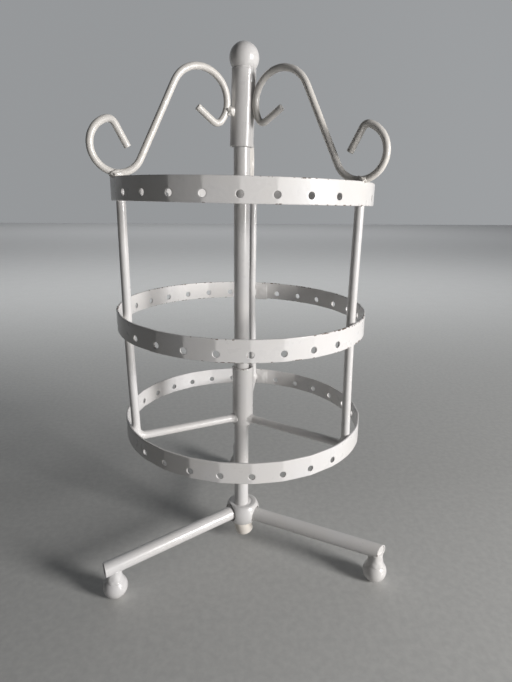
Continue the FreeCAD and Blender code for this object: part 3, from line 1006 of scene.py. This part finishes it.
def slant_end(skin, side, start, direction, length):
    """Slants the outer end of a leg, which was sawn off a little askew."""
    across = direction.cross(Vector((0, 0, 1))).normalized()
    slant = math.tan(math.radians(LEG_QUIRKS[side]["cut"]))
    for n, p in enumerate(skin.points):
        out = (p - start).dot(direction)
        if out > length / 2:
            share = ease((out - length + 12) / 8)
            skin.points[n] = p + direction * (p - start).dot(across) * slant * share


def foot_centre(side):
    lo, hi = box_mm("foot_" + side)
    out = Vector(((lo.x + hi.x) / 2, (lo.y + hi.y) / 2, 0))
    out = Matrix.Rotation(math.radians(LEG_QUIRKS[side]["swing"]), 3, "Z") @ out
    return out + out.normalized() * LEG_QUIRKS[side]["foot"] + STAND_OFFSET


def make_legs():
    for side in LEG_QUIRKS:
        start, direction, length = leg_frame(side)
        place = along(direction, start)
        profile = tube_profile(LEG_RADIUS, LEG_RADIUS - TUBE_WALL, 0.0, length)
        skin = lathe(profile, 56, closed=True, place=place)
        slant_end(skin, side, start, direction, length)
        stand_paint("leg_tube_" + side, skin, "leg_" + side)

        bore = LEG_RADIUS - TUBE_WALL - SLACK
        face, root = length - LEG_PLUG_INSET, length - LEG_PLUG_LENGTH
        outline = [(bore * s, face - 0.25 * s ** 2) for s in (0.02, 0.25, 0.5, 0.75, 0.95)]
        outline += [(bore, face - 0.5), (bore, root), (bore * 0.02, root)]
        skin = lathe(outline[::-1], 40, place=place)
        close_ends(skin, 40)
        slant_end(skin, side, start, direction, length)
        stand_paint("leg_end_" + side, skin, "leg_plug_" + side)
        make_foot(side, start, direction)


def make_foot(side, leg_start, leg_direction):
    """A ball foot with the weld that joins it to its leg."""
    lo, hi = box_mm("foot_" + side)
    centre = foot_centre(side)
    radius = (hi.x - lo.x) / 2
    height = math.sqrt(radius ** 2 - FOOT_FLAT_RADIUS ** 2)
    along_leg = (centre - leg_start).dot(leg_direction)
    axis = leg_start.z + leg_direction.z * along_leg
    flat_angle = -math.degrees(math.acos(FOOT_FLAT_RADIUS / radius))
    profile = [(0.05, 0.0), (FOOT_FLAT_RADIUS * 0.6, 0.0)]
    profile += arc((0, height), radius, flat_angle, 88, 44)
    skin = lathe(profile, 64, place=Matrix.Translation(centre))
    close_ends(skin, 64)
    stand_paint("foot_ball_" + side, skin, "foot_" + side)

    root = height + radius * 0.62
    top = axis - LEG_RADIUS * 0.35
    neck = [(FOOT_NECK_RADIUS + FOOT_NECK_FLARE * (1 - s) ** 2.4, root + (top - root) * s)
            for s in steps(0, 1, 14)]
    skin = lathe(neck, 56, place=Matrix.Translation(centre))
    for n, p in enumerate(skin.points):
        out = Vector((p.x - centre.x, p.y - centre.y, 0)).normalized()
        skin.points[n] = p + out * 0.3 * noise.noise(p * 0.4)
    close_ends(skin, 56)
    stand_paint("foot_neck_" + side, skin, "foot_welds")


def mouth_cutter(side):
    """What is cut out of the hub round the inner end of a leg."""
    start, direction, _ = leg_frame(side)
    floor = HUB_MOUTH_START - LEG_INNER_END
    wide = HUB_MOUTH_RADIUS + HUB_MOUTH_FLARE
    outline = [(0.02, floor), (HUB_MOUTH_RADIUS - 0.8, floor), (HUB_MOUTH_RADIUS, floor + 0.8)]
    outline += [(HUB_MOUTH_RADIUS, floor + HUB_MOUTH_STRAIGHT)]
    outline += [(wide, floor + HUB_MOUTH_END), (0.02, floor + HUB_MOUTH_END)]
    cut = lathe(outline, 48, place=along(direction, start))
    close_ends(cut, 48)
    return add_object("cutter_" + side, mesh_of(cut, "cutter"))


def make_hub():
    """A cast ball with a flat top, a recess round each leg and rounded edges everywhere."""
    rise = HUB_TOP - HUB_BALL_CENTRE
    rim = math.sqrt(HUB_BALL_RADIUS ** 2 - rise ** 2)
    top_angle = math.degrees(math.asin(rise / HUB_BALL_RADIUS))
    profile = [(0.02, HUB_SKIRT), (HUB_NECK_RADIUS - 0.5, HUB_SKIRT)]
    profile += [(HUB_NECK_RADIUS, HUB_SKIRT + 0.5)]
    profile += arc((0, HUB_BALL_CENTRE), HUB_BALL_RADIUS, HUB_BALL_LOWEST, top_angle - 3, 30)
    profile += [(rim - 0.5, HUB_TOP), (rim - 2.5, HUB_TOP - 0.1)]
    profile += [(POLE_RADIUS + 1.6, HUB_TOP - 0.5), (POLE_RADIUS + 0.9, HUB_TOP - 0.4)]
    profile += [(POLE_RADIUS + 0.2, HUB_TOP + 0.1), (0.02, HUB_TOP + 0.3)]
    body = lathe(profile, 72, place=Matrix.Translation(STAND_OFFSET))
    close_ends(body, 72)

    casting = add_object("hub_body", mesh_of(body, "hub_body"))
    cutters = [mouth_cutter(side) for side in LEG_QUIRKS]
    for cutter in cutters:
        boolean = casting.modifiers.new("mouth", "BOOLEAN")
        boolean.operation = "DIFFERENCE"
        boolean.solver = "EXACT"
        boolean.object = cutter
    remesh = casting.modifiers.new("cast", "REMESH")
    remesh.mode = "VOXEL"
    remesh.voxel_size = HUB_GRAIN * MM
    soften = casting.modifiers.new("soften", "SMOOTH")
    soften.factor = 0.5
    soften.iterations = 7
    bpy.context.view_layer.update()
    finished = casting.evaluated_get(bpy.context.evaluated_depsgraph_get())
    mesh = bpy.data.meshes.new_from_object(finished)
    for helper in [casting] + cutters:
        bpy.data.objects.remove(helper)
    add_piece("hub_casting", mesh, "stand", TUBE_PAINT, ("base_hub",))


def make_pole():
    bottom, top = span_of("pole")
    profile = tube_profile(POLE_RADIUS, POLE_RADIUS - TUBE_WALL, bottom, top, step=3.0)
    skin = lathe(profile, 72, closed=True)
    for n, p in enumerate(skin.points):
        ripple = 0.035 * noise.noise(Vector((p.x * 0.12, p.y * 0.12, p.z * 0.05)))
        skin.points[n] = p + Vector((p.x, p.y, 0)).normalized() * ripple
    stand_paint("pole_tube", skin, "pole")


def make_cap():
    """The cream cap under the hub, pushed on a little askew."""
    bottom = span_of("bolt_cap")[0]
    radius = radius_of("bolt_cap")
    tall = CAP_TOP - bottom
    outline = [(0.05, 0.0), (radius * 0.35, 0.0)]
    outline += arc((radius - CAP_EDGE, CAP_EDGE), CAP_EDGE, -90, 0, 10)
    outline += [(radius, CAP_EDGE + (tall - CAP_EDGE - 0.6) * s) for s in (0.33, 0.66, 1.0)]
    outline += [(radius - 0.2, tall - 0.2), (radius - 0.6, tall), (0.05, tall)]
    place = Matrix.Translation(STAND_OFFSET + Vector((*CAP_SHIFT, bottom + CAP_LIFT)))
    skin = lathe(outline, 56, place=place @ Matrix.Rotation(math.radians(CAP_TILT), 4, "Y"))
    close_ends(skin, 56)
    make_piece("cream_cap", skin, "stand", CREAM_PLASTIC, ("bolt_cap",))


def dress_inner_parts():
    """Finishes for the CAD parts that stay: the hardware inside the pole and the hub."""
    finishes = {
        "pole_insert": BARE_STEEL,
        "base_bolt": BARE_STEEL,
        "base_washer": BARE_STEEL,
        "pivot_pin": BARE_STEEL,
        "pole_top_plug": WHITE_PLASTIC,
    }
    for node, material in finishes.items():
        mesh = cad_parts[node].data
        mesh.materials.clear()
        mesh.materials.append(material)


# ---- studio ----

FLOOR_REACH = 4000.0
ROOM_COLOUR = (0.94, 0.97, 1.0)
ROOM_LEVEL = 0.025
ROOM_LIFTS = (               # (axis, where the lift starts, where it is full, how much)
    ("X", -0.2, 0.9, 0.05),  # the window's side
    ("Y", 0.1, 0.9, 0.30),   # the wall behind
)
LAMPS = (
    {"name": "window", "place": (826, -637, 335), "aim": (0, 0, 160),
     "width": 270, "height": 360, "power": 11.3, "colour": (1.0, 0.982, 0.965)},
    {"name": "wall_wash", "place": (0, 700, 1000), "aim": (0, 2300, 0),
     "width": 2400, "height": 600, "power": 17.0, "colour": (0.97, 0.985, 1.0)},
    {"name": "far_wash", "place": (0, 2900, 1500), "aim": (0, 3900, 0),
     "width": 4000, "height": 600, "power": 16.0, "colour": (0.97, 0.985, 1.0)},
)
CAMERA_PLACE = (-20.69, -304.92, 237.97)
CAMERA_HEADING = 5.60
CAMERA_PITCH = 16.32         # downward
CAMERA_ROLL = 0.58
SENSOR_WIDTH = 36.0
LENS = 26.41
NEAR_CLIP = 10.0


def make_floor():
    skin = Skin()
    signs = ((-1, -1), (1, -1), (1, 1), (-1, 1))
    skin.face([skin.point((x * FLOOR_REACH, y * FLOOR_REACH, 0)) for x, y in signs])
    floor = add_object("floor", mesh_of(skin, "floor"))
    floor.data.materials.append(table_top())


def soft_light(name, place, aim, width, height, power, colour):
    light = bpy.data.lights.new(name, "AREA")
    light.shape = "RECTANGLE"
    light.size = width * MM
    light.size_y = height * MM
    light.energy = power
    light.color = colour
    lamp = add_object(name, light)
    lamp.location = Vector(place) * MM
    lamp.rotation_mode = "QUATERNION"
    lamp.rotation_quaternion = (Vector(aim) - Vector(place)).to_track_quat("-Z", "Y")


def make_sky():
    """A dim room, lighter towards the window on the right and the wall behind."""
    world = bpy.data.worlds.new("room")
    bpy.context.scene.world = world
    world.use_nodes = True
    tree = world.node_tree
    where = tree.nodes.new("ShaderNodeTexCoord")
    split = tree.nodes.new("ShaderNodeSeparateXYZ")
    tree.links.new(where.outputs["Generated"], split.inputs[0])
    level = None
    for axis, low, high, lift in ROOM_LIFTS:
        node = tree.nodes.new("ShaderNodeMapRange")
        node.interpolation_type = "SMOOTHSTEP"
        node.inputs["From Min"].default_value = low
        node.inputs["From Max"].default_value = high
        node.inputs["To Max"].default_value = lift
        tree.links.new(split.outputs[axis], node.inputs["Value"])
        total = tree.nodes.new("ShaderNodeMath")
        tree.links.new(node.outputs["Result"], total.inputs[0])
        if level:
            tree.links.new(level, total.inputs[1])
        else:
            total.inputs[1].default_value = ROOM_LEVEL
        level = total.outputs[0]
    sky = tree.nodes["Background"]
    sky.inputs["Color"].default_value = (*ROOM_COLOUR, 1.0)
    tree.links.new(level, sky.inputs["Strength"])


def make_camera():
    heading, pitch, roll = (math.radians(a) for a in (CAMERA_HEADING, CAMERA_PITCH, CAMERA_ROLL))
    level_ahead = Vector((math.sin(heading), math.cos(heading), 0))
    ahead = level_ahead * math.cos(pitch) - Vector((0, 0, math.sin(pitch)))
    level = Vector((math.cos(heading), -math.sin(heading), 0))
    right = level * math.cos(roll) + level.cross(ahead) * math.sin(roll)
    up = right.cross(ahead)
    camera = bpy.data.cameras.new("camera")
    camera.sensor_width = SENSOR_WIDTH
    camera.lens = LENS
    camera.clip_start = NEAR_CLIP * MM
    holder = add_object("camera", camera)
    turn = Matrix((right, up, -ahead)).transposed().to_4x4()
    holder.matrix_world = Matrix.Translation(Vector(CAMERA_PLACE) * MM) @ turn
    bpy.context.scene.camera = holder


make_camera()
make_floor()
make_sky()
for lamp in LAMPS:
    soft_light(**lamp)
make_hoops()
make_rods()
make_scrolls()
make_sleeves()
make_bearing()
make_finial()
make_paint_runs()
make_carousel_welds()
make_pole()
make_hub()
make_legs()
make_cap()
dress_inner_parts()
bpy.context.scene.view_settings.view_transform = "Standard"
